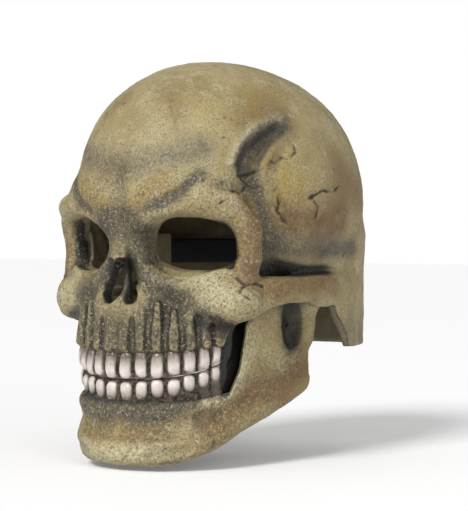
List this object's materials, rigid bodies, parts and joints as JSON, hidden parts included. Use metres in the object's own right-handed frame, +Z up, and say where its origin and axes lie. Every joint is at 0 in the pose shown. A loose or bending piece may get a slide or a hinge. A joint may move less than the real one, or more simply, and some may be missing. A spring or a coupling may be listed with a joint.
{
  "type": "latex skull mask",
  "caption": "Full-head latex skull mask with open eye and nostril holes, a grinning tooth row and a hinged lower jaw that follows the wearer's mouth.",
  "frame": {"origin": "middle of the jaw hinge axis, between the wearer's ears, where the head carries the mask", "axes": "-Y is the way the face looks, +X is the mask's left side, +Z is up to the crown"},
  "size_m": [0.1872, 0.2389, 0.2748],
  "materials": {
    "latex_bone": "matte painted latex",
    "tooth": "satin painted latex",
    "black_elastic": "glossy black latex",
    "foam": "open foam",
    "webbing": "woven elastic",
    "latex_patch": "matte latex",
    "stud": "brushed",
    "washer": "nylon"
  },
  "bodies": {
    "skull": {"skull_shell": "latex_bone", "upper_teeth": "tooth", "cheek_elastic_left": "black_elastic", "cheek_elastic_right": "black_elastic", "crown_pad": "foam", "forehead_pad": "foam", "temple_pad_left": "foam", "temple_pad_right": "foam", "head_band": "webbing", "band_patch_left": "latex_patch", "band_patch_right": "latex_patch", "pivot_stud_left": "stud", "pivot_stud_right": "stud", "pivot_washer_left": "washer", "pivot_washer_right": "washer", "pivot_cap_left": "stud", "pivot_cap_right": "stud"},
    "jaw": {"jaw_shell": "latex_bone", "lower_teeth": "tooth", "chin_cup": "foam"}
  },
  "joints": [
    {"name": "jaw_hinge", "type": "hinge", "parent": "skull", "child": "jaw", "pos_m": [0, 0, 0], "axis": [1, 0, 0], "range_deg": [0, 20], "stiffness_Nm_per_rad": 0.4, "springref_deg": -22.92, "deforming": ["cheek_elastic_left", "cheek_elastic_right"]}
  ]
}
